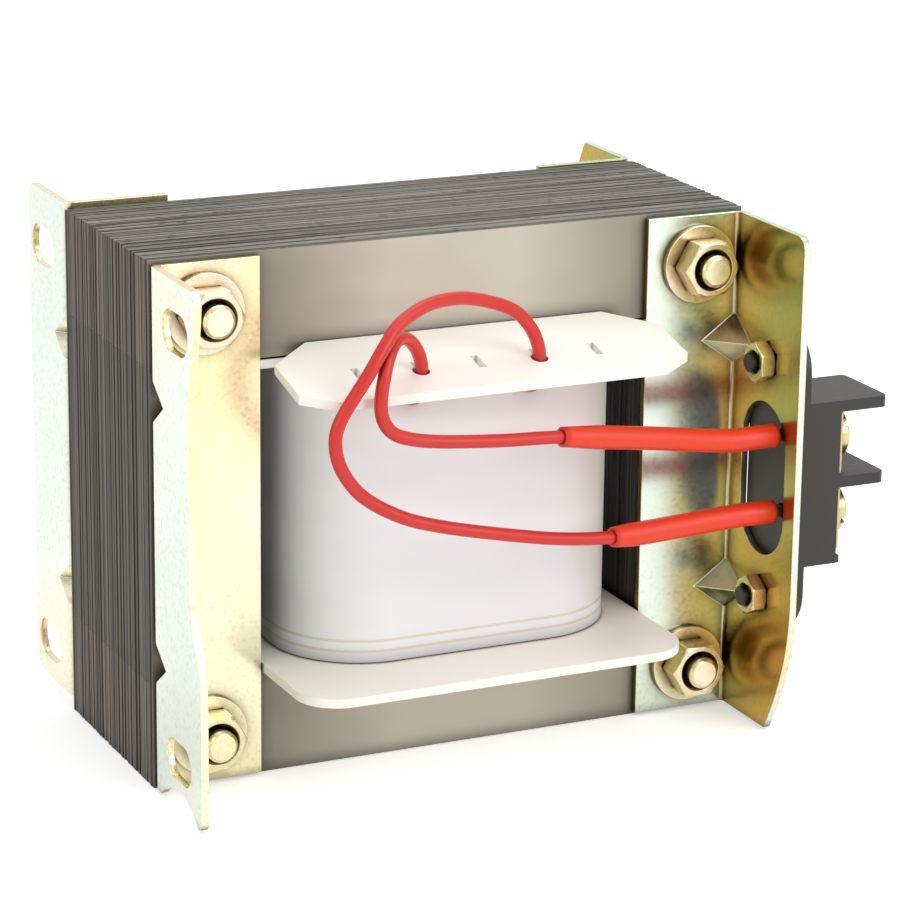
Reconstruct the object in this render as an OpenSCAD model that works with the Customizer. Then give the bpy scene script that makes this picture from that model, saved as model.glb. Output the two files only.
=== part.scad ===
// Laminated chassis transformer: an interleaved E and I core, clamped by four bolts
// between four L-shaped brackets. Two brackets bolt to a chassis, two carry terminal blocks.
// Lengths are in millimetres. The part stands on the core's lower edge, at z = 0.

/* [Core] */
// Width of the centre limb
tongue_w = 32; // [30:1:40]
// Width of each outer limb, and height of each yoke
limb_w = 16; // [16:0.5:20]
// Width of each of the two windows
window_w = 16; // [15.5:0.5:22]
// Height of the windows
window_h = 48; // [47:1:60]
// Thickness of the stack of laminations
stack_t = 36; // [32:2:50]
// Thickness of one interleaved group of sheets
group_t = 2; // [1.5:0.5:4]
// Width of the butt joint between an E and its I
joint_gap = 0.05; // [0.02:0.01:0.1]
// Varnish film between two groups of sheets
varnish_t = 0.06; // [0.04:0.01:0.12]
// Holes through the laminations for the clamping bolts
core_hole_d = 6.6; // [6.4:0.1:7]
// Distance of the clamping bolts from the edges of the core
bolt_inset = 8; // [7.8:0.1:8.6]

/* [Bobbin] */
// Wall of the tube that carries the windings
bobbin_wall = 1.2; // [0.8:0.1:1.4]
// Thickness of the flanges
flange_t = 1.4; // [1:0.1:1.8]
// Room between the bobbin and the core
bobbin_gap = 0.3; // [0.2:0.1:0.5]
// Reach of the lower flange beyond the core's face
lower_flange_reach = 20; // [18:0.5:21]
// Corner radius of the lower flange
lower_corner_r = 6.5; // [4:0.5:8]
// Reach of the sloping lead shelf beyond the core's face
shelf_reach = 18; // [17:0.5:19]
// Height of the shelf's back edge above the window
shelf_back_rise = 1.8; // [1:0.1:3]
// Drop of the shelf from its back edge to its front edge
shelf_drop = 4.2; // [3:0.1:4.6]
// Corner cut beside the brackets, across the shelf
back_cut_x = 7; // [6:0.5:9]
// The same cut, along the shelf's reach
back_cut_y = 5.5; // [4:0.5:8]
// Corner cut at the shelf's front edge, across the shelf
front_cut_x = 5; // [3:0.5:8]
// The same cut, along the shelf's reach
front_cut_y = 3; // [2:0.5:5]
// Number of lead slits in each shelf
slit_count = 5; // [3:1:5]
// Spacing of the lead slits
slit_pitch = 9.5; // [8:0.25:10]
// Length of a lead slit
slit_l = 3.6; // [3:0.1:4]
// Width of a lead slit
slit_w = 1.1; // [0.8:0.1:1.6]
// Distance of the slits from the core's face
slit_out = 9; // [8:0.5:10]
// How far the row of slits stands off the core's middle
slit_shift = -1.25; // [-2:0.25:0]
// Bore where a slit is opened out for a lead
lead_hole_d = 2.5; // [2.4:0.1:3]

/* [Windings] */
// Build-up of the primary beside the tongue
primary_side = 4.2; // [3:0.1:4.6]
// Build-up of the primary in front of the tongue
primary_front = 2.8; // [2:0.1:3]
// Sheet insulation between the two windings
interwinding_t = 0.6; // [0.3:0.1:0.8]
// Build-up of the secondary beside the tongue
secondary_side = 3.9; // [3:0.1:4.3]
// Build-up of the secondary in front of the tongue
secondary_front = 2.4; // [1.8:0.1:2.6]
// Thickness of the outer wrap
wrap_t = 0.5; // [0.3:0.1:0.7]
// Corner radius of the finished coil
coil_corner_r = 14; // [12:0.5:15]
// Corner radius of the primary
primary_corner_r = 6; // [4:0.5:7]

/* [Brackets] */
// Thickness of the bracket sheet
sheet_t = 1.2; // [1:0.1:1.4]
// Outside radius of the bend
bend_r = 1.8; // [1.6:0.1:2]
// How far a bracket laps over the edge of the window
flange_lap = 0.6; // [0.2:0.1:0.8]
// Space from the core's upper and lower edges to the bracket's ends
bracket_short = 0.5; // [0.2:0.1:1.5]
// How much higher the rear brackets are cut than the front ones
rear_rise = 1.4; // [1:0.1:1.8]
// Depth of the front chassis leg
front_leg_d = 19.5; // [18.5:0.5:21]
// Depth of the rear chassis leg
rear_leg_d = 17; // [16.5:0.5:21]
// Depth of the terminal legs
terminal_leg_d = 21; // [20:0.5:24]
// How far the free edge of the front chassis leg draws in
waist = 4.3; // [1:0.1:4.6]
// Height at which the waist begins
waist_start = 21; // [16:1:24]
// Length over which the waist runs in
waist_ramp = 13; // [8:1:18]
// Length over which the waist runs out below the upper end
waist_return = 20; // [16:1:24]
// Part of the waist that is regained at the upper end
waist_regain = 0.7; // [0:0.1:1]
// Rise of the hollow in the front chassis leg's lower edge
foot_hollow = 2.9; // [1:0.1:3.2]
// Width of that hollow
foot_hollow_w = 15; // [12:0.5:16]
// How far the terminal leg's corner is drawn in
taper_inset = 6.6; // [3:0.1:8]
// Height of that drawn-in corner
taper_run = 22; // [12:1:24]
// Radius of the legs' other corners
leg_corner_r = 2; // [1:0.5:3]
// Width of the chassis slots
slot_w = 6; // [5:0.5:6.5]
// Length of the chassis slots
slot_l = 10; // [8:0.5:10]
// Distance of the chassis slots from the core's face
slot_out = 10.5; // [10:0.1:10.8]
// Distance of the stamped darts from mid-height
dart_offset = 19.75; // [19:0.25:21]
// Reach of a stamped dart along both sides of the bend
dart_reach = 5.6; // [4:0.1:6]
// Half the height of a stamped dart
dart_half_h = 4.1; // [3:0.1:4.5]

/* [Clamping bolts] */
// Diameter of the clamping bolts
bolt_d = 5; // [4:0.5:5]
// Width across flats of the nuts and bolt heads
nut_af = 8; // [7.5:0.5:9]
// Height of a nut
nut_h = 4; // [3.2:0.1:4.7]
// Height of a bolt head
head_h = 3.5; // [3:0.1:4]
// Length of bolt that stands out of its nut
bolt_stickout = 1.5; // [0.5:0.1:2.5]
// Diameter of the washers
washer_d = 12; // [10:0.5:12]
// Thickness of the washers
washer_t = 1; // [0.8:0.1:1.2]

/* [Terminal blocks] */
// Width of the block
block_w = 13; // [12.5:0.5:14]
// Height of the moulded body above the leg
block_body_h = 8.5; // [8:0.5:10]
// Reach of the barriers above the leg
barrier_h = 16.5; // [15.5:0.5:18]
// Thickness of the barriers
barrier_t = 1.8; // [1.4:0.1:2]
// Spacing of the terminals
terminal_pitch = 12; // [11.8:0.1:12.5]
// Height of the low lip at the block's lower end
lip_h = 1; // [0.5:0.1:2]
// Thickness of the ears
ear_t = 3; // [2.5:0.1:4]
// Distance of the ears' holes from the block's middle
ear_hole_out = 18.5; // [18:0.1:19]
// Length of each ear
ear_l = 10.9; // [10.4:0.1:12]
// Distance of the block from the core's face
block_out = 11.2; // [11:0.1:11.4]
// Width of the lead window in the terminal leg
lead_window_w = 13; // [12:0.5:14]
// Height of the lead window
lead_window_h = 24; // [20:0.5:25]
// Diameter of the terminal screws
terminal_screw_d = 3.5; // [3:0.1:3.6]
// Diameter of their heads
terminal_head_d = 7.5; // [6.5:0.1:7.8]
// Height of their heads
terminal_head_h = 1.9; // [1.6:0.1:2.2]
// Width across the square nuts inside the block
block_nut_w = 6; // [5.5:0.1:6]
// Sheet of the terminal plates and clamp washers
plate_t = 0.8; // [0.6:0.1:0.9]
// Diameter of the block's fixing screws
fixing_d = 3; // [2.5:0.1:3.2]
// Width across flats of the fixing nuts
fixing_af = 5.5; // [5.2:0.1:6]

/* [Leads] */
// Diameter of a lead over its insulation
lead_d = 2; // [1.6:0.1:2]
// Outside diameter of the sleeve over a lead's end
sleeve_d = 3.6; // [3.2:0.1:3.8]

/* [Hidden] */
$fn = 64;

// Overlap that makes a cut run clean through a face.
cut = 1;
// Room between two pieces that lie against each other round a curve.
layer_gap = 0.05;
// Room between a thread and its nut, on the diameter.
thread_gap = 0.06;
// Room round a screw in its plain hole, on the diameter.
screw_room = 0.5;

// The core's outer sizes, and its place: the barriers of the terminal blocks reach out to
// the right, so the core stands left of the middle of the whole part.
core_w = tongue_w + 2 * window_w + 2 * limb_w;
core_h = window_h + 2 * limb_w;
core_x = -barrier_h / 2;
core_mid_z = core_h / 2;
face_y = stack_t / 2;
bolt_x = core_w / 2 - bolt_inset;
bolt_zs = [bolt_inset, core_h - bolt_inset];

// An even number of groups, so that every E has its I at the other end.
groups = 2 * round(stack_t / group_t / 2);
group_pitch = stack_t / groups;

// Heights of the bobbin's flanges inside the window.
flange_low_z = limb_w + bobbin_gap;
coil_low_z = flange_low_z + flange_t;
flange_top_z = limb_w + window_h - bobbin_gap;
coil_high_z = flange_top_z - flange_t;
shelf_back_z = limb_w + window_h + shelf_back_rise;
shelf_front_z = shelf_back_z - shelf_drop;
bobbin_half_w = tongue_w / 2 + window_w - flange_lap - bobbin_gap;

// Half sizes of the coil's layers, [across, along], from the tongue outwards.
tube_in = [tongue_w / 2 + bobbin_gap, stack_t / 2 + bobbin_gap];
tube_out = tube_in + [bobbin_wall, bobbin_wall];
tube_corner_r = 1.5;
gap_xy = [layer_gap, layer_gap];
primary_in = tube_out + gap_xy;
primary_out = primary_in + [primary_side, primary_front];
paper_in = primary_out + gap_xy;
paper_out = paper_in + [interwinding_t, interwinding_t];
paper_corner_r = primary_corner_r + layer_gap + interwinding_t;
secondary_in = paper_out + gap_xy;
secondary_out = secondary_in + [secondary_side, secondary_front];
wrap_in = secondary_out + gap_xy;
wrap_out = wrap_in + [wrap_t, wrap_t];

// Sizes that follow the bolts.
flange_w = limb_w + flange_lap;
bolt_sleeve_room = 0.2;
bracket_hole_d = bolt_d + 0.6;
chamfer_angle = 30;
washer_room = 0.3;
end_chamfer = 0.5;
head_chamfer = 0.3;

// The terminal block, in its own frame: x out of the leg, z along the block.
block_half_l = terminal_pitch + barrier_t / 2;
compartment_w = terminal_pitch - barrier_t;
barrier_corner_r = 1;
terminal_zs = [-terminal_pitch / 2, terminal_pitch / 2];
plate_room = 0.3;
plate_w = compartment_w - 2 * plate_room;
plate_l = block_w - 1.5;
clamp_washer_w = terminal_head_d + 0.5;
tail_w = 1.8;
tail_out = -4;
tail_up = 1.9;
tail_room = 0.4;
tail_in = 4.6;
block_nut_h = 2.8;
nut_room = 0.1;
terminal_shank_l = 6.4;
driver_slot_w = 1;
driver_slot_depth = 1;
slot_turns = [20, -35];
fixing_head_d = 5.6;
fixing_head_h = 1.8;
fixing_nut_h = 2.4;
fixing_stickout = 0.8;

// Routes of the two leads through the part, from the coil up through the shelf, over its
// front edge and across to the solder tails. Each sleeve covers its lead from one point on.
lead_a_route = [
    [-19, -26.1, 58.1], [-19, -26.8, 58.1], [-19, -28.2, 58.7], [-19, -29.3, 60],
    [-19, -29.8, 61.9], [-19.1, -29.9, 64.4], [-20.2, -30.3, 66.8], [-22.4, -31.8, 68.7],
    [-25, -34.2, 69], [-27, -36.4, 67.6], [-28.3, -37.7, 65], [-28.9, -38, 62],
    [-28.7, -38, 59.3], [-27.3, -38, 57], [-24.4, -37.8, 55.6], [-19.2, -37.4, 54.5],
    [-9.3, -36.5, 53.3], [1, -35.4, 52.4], [10, -34.6, 51.1], [18.5, -34, 49.8],
    [26, -33.4, 48.5], [31, -33.2, 47.9], [35, -33.2, 47.9]];
lead_b_route = [
    [0, -26.1, 58.1], [0, -26.8, 58.1], [0, -28.2, 58.7], [0, -29.3, 60],
    [0, -29.8, 61.9], [-0.3, -29.8, 65], [-2, -29.9, 68.3], [-5.4, -30.2, 71.2],
    [-12.7, -31.5, 73.6], [-19.4, -33.4, 73.8], [-24.8, -35.4, 72], [-27.9, -37, 69.4],
    [-30.8, -37.9, 65.7], [-34.8, -38, 60], [-35.9, -38, 56.4], [-34.9, -38, 52.2],
    [-31.6, -38, 47.9], [-25.7, -37.9, 44.2], [-19.1, -37.5, 41.8], [-9.3, -37, 39.3],
    [1, -36, 37], [10, -35, 35.8], [16, -34.2, 35.6], [31, -33.2, 35.9], [35, -33.2, 35.9]];
shelf_point = 4;
sleeve_a_from = 17;
sleeve_b_from = 21;
sleeve_end_x = 38.2;
cord_sides = 8;
sleeve_bore_d = lead_d + 0.3;

// ---------------------------------------------------------------- shapes in the plane

// A rectangle of the given half sizes with round corners.
module round_rect(half, r) {
    square([2 * half[0] - 2 * r, 2 * half[1]], center = true);
    square([2 * half[0], 2 * half[1] - 2 * r], center = true);
    for (sx = [-1, 1], sy = [-1, 1])
        translate([sx * (half[0] - r), sy * (half[1] - r)])
            circle(r = r);
}

// A slot with round ends, long in x.
module obround(length, width) {
    square([length - width, width], center = true);
    for (s = [-1, 1])
        translate([s * (length - width) / 2, 0])
            circle(d = width);
}

// Points of an arc about a centre, from one angle to another.
function arc(centre, r, from, to, steps) =
    [for (i = [0:steps])
        let (a = from + (to - from) * i / steps)
        centre + r * [cos(a), sin(a)]];

// Rises gently from 0 to 1 while u goes from 0 to 1.
function ease(u) = u <= 0 ? 0 : u >= 1 ? 1 : (1 - cos(180 * u)) / 2;

// ---------------------------------------------------------------- laminations

// One E, spine down: three limbs on a spine, with a hole at each end of the spine.
module e_sheet() {
    tip_z = limb_w + window_h - joint_gap;
    difference() {
        translate([-core_w / 2, 0])
            square([core_w, tip_z]);
        for (s = [-1, 1])
            translate([s * (tongue_w + window_w) / 2, limb_w + (window_h + cut) / 2])
                square([window_w, window_h + cut], center = true);
        bolt_holes_2d();
    }
}

// The I that closes the three limbs.
module i_sheet() {
    difference() {
        translate([-core_w / 2, core_h - limb_w])
            square([core_w, limb_w]);
        translate([0, core_h - 2 * bolt_inset])
            bolt_holes_2d();
    }
}

module bolt_holes_2d() {
    for (s = [-1, 1])
        translate([s * bolt_x, bolt_inset])
            circle(d = core_hole_d);
}

// A stack of groups: odd groups stand spine down, even ones spine up.
module interleaved() {
    for (i = [0:groups - 1])
        translate([core_x, -face_y + i * group_pitch, core_mid_z])
            rotate([0, i % 2 == 0 ? 0 : 180, 0])
                translate([0, group_pitch - varnish_t / 2, -core_mid_z])
                    rotate([90, 0, 0])
                        linear_extrude(height = group_pitch - varnish_t)
                            children();
}

module e_laminations() {
    color("#6e6a5f")
        interleaved()
            e_sheet();
}

module i_laminations() {
    color("#5f5b51")
        interleaved()
            i_sheet();
}

// ---------------------------------------------------------------- bobbin and windings

// Section of half of the upper flange, [out from the middle, up]: flat in the window, up in
// front of the yoke, then sloping down and out.
module shelf_section() {
    riser_y = face_y + bobbin_gap;
    out_y = face_y + shelf_reach;
    slope = shelf_drop / (out_y - riser_y);
    polygon([
        [0, flange_top_z], [riser_y, flange_top_z], [riser_y, shelf_back_z],
        [out_y, shelf_front_z], [out_y, shelf_front_z - flange_t],
        [riser_y + flange_t, shelf_back_z - slope * flange_t - flange_t],
        [riser_y + flange_t, flange_top_z - flange_t], [0, flange_top_z - flange_t]]);
}

// Outline of the same half from above: cut back beside the brackets and at the front.
module shelf_outline() {
    w = bobbin_half_w;
    back_y = face_y + bobbin_gap;
    out_y = face_y + shelf_reach;
    half = [
        [w, 0], [w, face_y - bobbin_gap], [w - back_cut_x, face_y - bobbin_gap],
        [w - back_cut_x, back_y], [w, back_y + back_cut_y],
        [w, out_y - front_cut_y], [w - front_cut_x, out_y]];
    polygon(concat(half, [for (i = [len(half) - 1:-1:0]) [-half[i][0], half[i][1]]]));
}

// Half of the upper flange, towards +Y.
module half_shelf() {
    intersection() {
        rotate([90, 0, 90])
            linear_extrude(height = core_w, center = true)
                shelf_section();
        linear_extrude(height = core_h)
            shelf_outline();
    }
}

// The row of slits through one shelf, on the side towards -Y.
module lead_slits() {
    low = shelf_front_z - flange_t - cut;
    for (i = [0:slit_count - 1])
        translate([
            slit_shift + (i - (slit_count - 1) / 2) * slit_pitch - slit_w / 2,
            -face_y - slit_out - slit_l, low])
            cube([slit_w, slit_l, shelf_back_z + cut - low]);
}

// Where the two leads pass the front shelf, their slits are opened out to round holes.
module lead_holes() {
    for (route = [lead_a_route, lead_b_route])
        translate([route[shelf_point][0] - core_x, route[shelf_point][1], shelf_front_z - flange_t - cut])
            cylinder(d = lead_hole_d, h = 2 * flange_t + shelf_drop + cut);
}

module bobbin() {
    color("#f7f5ec")
        translate([core_x, 0, 0])
            difference() {
                union() {
                    translate([0, 0, flange_low_z])
                        linear_extrude(height = flange_t)
                            round_rect([bobbin_half_w, face_y + lower_flange_reach], lower_corner_r);
                    translate([0, 0, flange_low_z])
                        linear_extrude(height = flange_top_z - flange_low_z)
                            round_rect(tube_out, tube_corner_r);
                    half_shelf();
                    rotate([0, 0, 180])
                        half_shelf();
                }
                cube([2 * tube_in[0], 2 * tube_in[1], 2 * core_h], center = true);
                lead_holes();
                lead_slits();
                rotate([0, 0, 180])
                    lead_slits();
            }
}

// One layer of the coil, between two rounded rectangles.
module coil_layer(inner, inner_r, outer, outer_r) {
    translate([core_x, 0, coil_low_z + layer_gap])
        linear_extrude(height = coil_high_z - coil_low_z - 2 * layer_gap)
            difference() {
                round_rect(outer, outer_r);
                round_rect(inner, inner_r);
            }
}

module primary_winding() {
    color("#b5652b")
        coil_layer(primary_in, tube_corner_r, primary_out, primary_corner_r);
}

module interwinding_insulation() {
    color("#e6d9a8")
        coil_layer(paper_in, primary_corner_r + layer_gap, paper_out, paper_corner_r);
}

module secondary_winding() {
    color("#c07337")
        coil_layer(secondary_in, paper_corner_r + layer_gap,
            secondary_out, coil_corner_r - wrap_t - layer_gap);
}

module outer_wrap() {
    color("#eceae8")
        coil_layer(wrap_in, coil_corner_r - wrap_t, wrap_out, coil_corner_r);
}

// ---------------------------------------------------------------- brackets

// Section of the bent sheet in its own frame: the bend's outer corner is at the origin, the
// leg runs along -y and the flange along +x.
module bent_section(leg_d) {
    inner_r = bend_r - sheet_t;
    translate([0, -leg_d])
        square([sheet_t, leg_d - bend_r]);
    translate([bend_r, -sheet_t])
        square([flange_w - bend_r, sheet_t]);
    intersection() {
        translate([bend_r, -bend_r])
            difference() {
                circle(r = bend_r);
                circle(r = inner_r);
            }
        translate([0, -bend_r])
            square(bend_r);
    }
}

// Outline of the front chassis leg, [y, z]: a waisted free edge over a hollow foot.
function waist_inset(z) =
    let (top = core_h - bracket_short)
    waist * ease((z - waist_start) / waist_ramp)
        * (1 - waist_regain * ease((z - top + waist_return) / waist_return));

module front_chassis_outline() {
    low = bracket_short;
    top = core_h - bracket_short;
    steps = 24;
    hollow_r = (pow(foot_hollow_w / 2, 2) + pow(foot_hollow, 2)) / (2 * foot_hollow);
    hollow_half_a = asin(foot_hollow_w / 2 / hollow_r);
    hollow_y = -front_leg_d + leg_corner_r + foot_hollow_w / 2 - 0.5;
    polygon(concat(
        [[0, top], [0, low]],
        arc([hollow_y, low + foot_hollow - hollow_r], hollow_r,
            90 - hollow_half_a, 90 + hollow_half_a, 10),
        arc([-front_leg_d + leg_corner_r / 2, low + leg_corner_r / 2], leg_corner_r / 2, 270, 180, 3),
        [for (i = [1:steps])
            let (z = low + (top - leg_corner_r - low) * i / steps)
            [-front_leg_d + waist_inset(z), z]],
        [[-front_leg_d + waist_inset(top) + leg_corner_r / 2, top]]));
}

// Outline of the rear chassis leg: straight, with round corners.
module rear_chassis_outline() {
    low = bracket_short + rear_rise;
    top = core_h - bracket_short + rear_rise;
    r = leg_corner_r;
    polygon(concat(
        [[0, top], [0, low]],
        arc([-rear_leg_d + r, low + r], r, 270, 180, 5),
        arc([-rear_leg_d + r, top - r], r, 180, 90, 5)));
}

// Outline of a terminal leg: its lower corner is drawn in along a parabola.
module terminal_outline(rise) {
    low = bracket_short + rise;
    top = core_h - bracket_short + rise;
    steps = 14;
    polygon(concat(
        [[0, top], [0, low]],
        [for (i = [0:steps])
            let (u = i / steps)
            [-terminal_leg_d + taper_inset * pow(1 - u, 2), low + taper_run * u]],
        arc([-terminal_leg_d + leg_corner_r, top - leg_corner_r], leg_corner_r, 180, 90, 5)));
}

// The bent sheet, trimmed to the leg outline that is given as its child.
module bent_sheet(leg_d) {
    intersection() {
        translate([0, 0, -core_h / 2])
            linear_extrude(height = 2 * core_h)
                bent_section(leg_d);
        rotate([90, 0, 90])
            translate([0, 0, -cut])
                linear_extrude(height = flange_w + 2 * cut)
                    children();
    }
}

// A stamped dart across the bend, in the quadrant that opens towards +x and -y.
module dart() {
    peak = dart_reach / sqrt(2);
    intersection() {
        rotate([0, 0, -45])
            rotate([90, 0, 0])
                linear_extrude(height = 4 * dart_reach, center = true)
                    polygon([[0, -dart_half_h], [peak, 0], [0, dart_half_h]]);
        translate([0, -2 * dart_reach, -dart_half_h])
            cube([2 * dart_reach, 2 * dart_reach, 2 * dart_half_h]);
    }
}

module darts_at(offset) {
    for (s = [-1, 1])
        translate([offset, -offset, core_mid_z + s * dart_offset])
            dart();
}

// A bracket with its darts and the two holes for the clamping bolts. The first child is its
// leg's outline, and the others are cut out of the leg.
module bracket(leg_d) {
    difference() {
        union() {
            bent_sheet(leg_d)
                children(0);
            darts_at(sheet_t);
        }
        darts_at(0);
        for (z = bolt_zs)
            translate([bolt_inset, cut, z])
                rotate([90, 0, 0])
                    cylinder(d = bracket_hole_d, h = sheet_t + 2 * cut);
        children(1);
    }
}

// Cuts a plane shape, drawn as [out from the core, up], through a leg.
module through_leg() {
    translate([-cut, 0, 0])
        rotate([90, 0, 90])
            linear_extrude(height = sheet_t + 2 * cut)
                mirror([1, 0])
                    children();
}

module chassis_slots() {
    for (z = bolt_zs)
        through_leg()
            translate([slot_out, z])
                obround(slot_l, slot_w);
}

module terminal_leg_cuts() {
    through_leg()
        translate([block_out, core_mid_z])
            rotate(90)
                obround(lead_window_h, lead_window_w);
    for (s = [-1, 1])
        through_leg()
            translate([block_out, core_mid_z + s * ear_hole_out])
                circle(d = fixing_d + screw_room);
}

module front_left_bracket() {
    color("#e9e0b4")
        translate([core_x - core_w / 2, -face_y, 0])
            bracket(front_leg_d) {
                front_chassis_outline();
                chassis_slots();
            }
}

module back_left_bracket() {
    color("#e4dcb2")
        translate([core_x - core_w / 2, face_y, 0])
            mirror([0, 1, 0])
                bracket(rear_leg_d) {
                    rear_chassis_outline();
                    chassis_slots();
                }
}

// A terminal bracket in its place on the front. The rear one is the same pressing, turned over.
module terminal_bracket(rise) {
    translate([core_x + core_w / 2, -face_y, 0])
        mirror([1, 0, 0])
            bracket(terminal_leg_d) {
                terminal_outline(rise);
                terminal_leg_cuts();
            }
}

module front_right_bracket() {
    color("#cdcf9a")
        terminal_bracket(0);
}

module back_right_bracket() {
    color("#c9cb96")
        translate([0, 0, core_h])
            rotate([180, 0, 0])
                terminal_bracket(-rear_rise / 2);
}

// ---------------------------------------------------------------- clamping bolts

// A hexagon with its corners turned off at the ends that are asked for, standing on z = 0.
module hexagon(af, h, turn_low, turn_high) {
    corner_r = af / sqrt(3);
    flat_r = af / 2 - 0.1;
    turned = (corner_r - flat_r) * tan(chamfer_angle);
    intersection() {
        cylinder(r = corner_r, h = h, $fn = 6);
        rotate_extrude()
            polygon([
                [0, 0], [turn_low ? flat_r : corner_r, 0], [corner_r, turn_low ? turned : 0],
                [corner_r, h - (turn_high ? turned : 0)], [turn_high ? flat_r : corner_r, h], [0, h]]);
    }
}

// A nut on its bolt's axis: threaded bore, countersunk at the top.
module nut(af, h, d) {
    bore_d = d + thread_gap;
    sink = d * 0.14;
    difference() {
        hexagon(af, h, true, true);
        translate([0, 0, -cut])
            cylinder(d = bore_d, h = h + 2 * cut);
        translate([0, 0, h - sink])
            cylinder(d1 = bore_d, d2 = bore_d + 2 * sink, h = sink);
    }
}

// Puts its children on each clamping bolt, standing up from the front brackets towards -Y.
module on_front_bolts() {
    for (s = [-1, 1], z = bolt_zs)
        translate([core_x + s * bolt_x, -face_y - sheet_t, z])
            rotate([90, 0, 0])
                children();
}

// The same on the rear brackets, towards +Y.
module on_rear_bolts() {
    for (s = [-1, 1], z = bolt_zs)
        translate([core_x + s * bolt_x, face_y + sheet_t, z])
            rotate([-90, 0, 0])
                children();
}

module washer() {
    difference() {
        cylinder(d = washer_d, h = washer_t);
        translate([0, 0, -cut])
            cylinder(d = bolt_d + washer_room, h = washer_t + 2 * cut);
    }
}

module clamp_washers() {
    color("#e3dbb4") {
        on_front_bolts()
            washer();
        on_rear_bolts()
            washer();
    }
}

module clamp_nuts() {
    color("#e8dcb0")
        on_front_bolts()
            translate([0, 0, washer_t])
                nut(nut_af, nut_h, bolt_d);
}

// Each bolt has its head at the rear, and ends in a chamfer beyond its nut.
module clamp_bolts() {
    grip = stack_t + 2 * sheet_t + 2 * washer_t;
    shank_l = grip + nut_h + bolt_stickout;
    color("#dccfa2")
        on_rear_bolts()
            translate([0, 0, washer_t]) {
                hexagon(nut_af, head_h, false, true);
                translate([0, 0, -shank_l + end_chamfer])
                    cylinder(d = bolt_d, h = shank_l - end_chamfer);
                translate([0, 0, -shank_l])
                    cylinder(d1 = bolt_d - 2 * end_chamfer, d2 = bolt_d, h = end_chamfer);
            }
}

// Insulating tubes that keep the bolts from bridging the laminations.
module bolt_sleeves() {
    color("#b98a4e")
        for (s = [-1, 1], z = bolt_zs)
            translate([core_x + s * bolt_x, face_y, z])
                rotate([90, 0, 0])
                    difference() {
                        cylinder(d = core_hole_d - bolt_sleeve_room, h = stack_t);
                        translate([0, 0, -cut])
                            cylinder(d = bolt_d + bolt_sleeve_room, h = stack_t + 2 * cut);
                    }
}

// ---------------------------------------------------------------- terminal blocks

// Puts its children on the front terminal leg: x points out of the leg, z along the block.
module on_front_leg() {
    translate([core_x + core_w / 2, -face_y - block_out, core_mid_z])
        children();
}

// The same on the rear leg, which is turned over.
module on_rear_leg() {
    translate([core_x + core_w / 2, face_y + block_out, core_mid_z])
        rotate([180, 0, 0])
            children();
}

module on_both_legs() {
    on_front_leg()
        children();
    on_rear_leg()
        children();
}

// A plate across the block with its two outer corners rounded.
module barrier(reach, thickness) {
    r = barrier_corner_r;
    linear_extrude(height = thickness)
        difference() {
            translate([0, -block_w / 2])
                square([reach, block_w]);
            for (s = [-1, 1])
                translate([reach - r, s * (block_w / 2 - r)])
                    difference() {
                        translate([0, s > 0 ? 0 : -r])
                            square(r);
                        circle(r = r);
                    }
        }
}

// One ear, up the leg from the block's end, with its fixing hole.
module ear() {
    half_w = block_w / 2;
    rotate([90, 0, 90])
        linear_extrude(height = ear_t)
            difference() {
                union() {
                    translate([-half_w, block_half_l - cut])
                        square([block_w, ear_l - half_w + cut]);
                    translate([0, block_half_l + ear_l - half_w])
                        circle(r = half_w);
                }
                translate([0, ear_hole_out])
                    circle(d = fixing_d + screw_room);
            }
}

// Pocket for a square nut, and holes for the screw and the tail, in one compartment.
module compartment_cuts() {
    nut_w = block_nut_w + 2 * nut_room;
    translate([block_body_h - block_nut_h - nut_room, -nut_w / 2, -nut_w / 2])
        cube([block_nut_h + nut_room + cut, nut_w, nut_w]);
    translate([block_body_h - terminal_shank_l, 0, 0])
        rotate([0, 90, 0])
            cylinder(d = terminal_screw_d + screw_room, h = terminal_shank_l);
    translate([-cut, tail_out - (plate_t + tail_room) / 2, tail_up - (tail_w + tail_room) / 2])
        cube([block_body_h + 2 * cut, plate_t + tail_room, tail_w + tail_room]);
}

module terminal_block() {
    difference() {
        union() {
            translate([0, -block_w / 2, -block_half_l])
                cube([block_body_h, block_w, 2 * block_half_l]);
            translate([0, 0, block_half_l - barrier_t])
                barrier(barrier_h, barrier_t);
            translate([0, 0, -barrier_t / 2])
                barrier(barrier_h, barrier_t);
            translate([0, 0, -block_half_l])
                barrier(block_body_h + lip_h, lip_h);
            ear();
            mirror([0, 0, 1])
                ear();
        }
        for (z = terminal_zs)
            translate([0, 0, z])
                compartment_cuts();
    }
}

module front_terminal_block() {
    color("#35302a")
        on_front_leg()
            terminal_block();
}

module rear_terminal_block() {
    color("#35302a")
        on_rear_leg()
            terminal_block();
}

// Puts its children on every terminal, at the seat of its plate.
module on_terminals() {
    on_both_legs()
        for (z = terminal_zs)
            translate([block_body_h, 0, z])
                children();
}

// Square nuts in their pockets under the plates.
module terminal_nuts() {
    color("#c9b37a")
        on_terminals()
            translate([-block_nut_h, -block_nut_w / 2, -block_nut_w / 2])
                difference() {
                    cube([block_nut_h, block_nut_w, block_nut_w]);
                    translate([-cut, block_nut_w / 2, block_nut_w / 2])
                        rotate([0, 90, 0])
                            cylinder(d = terminal_screw_d + thread_gap, h = block_nut_h + 2 * cut);
                }
}

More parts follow.
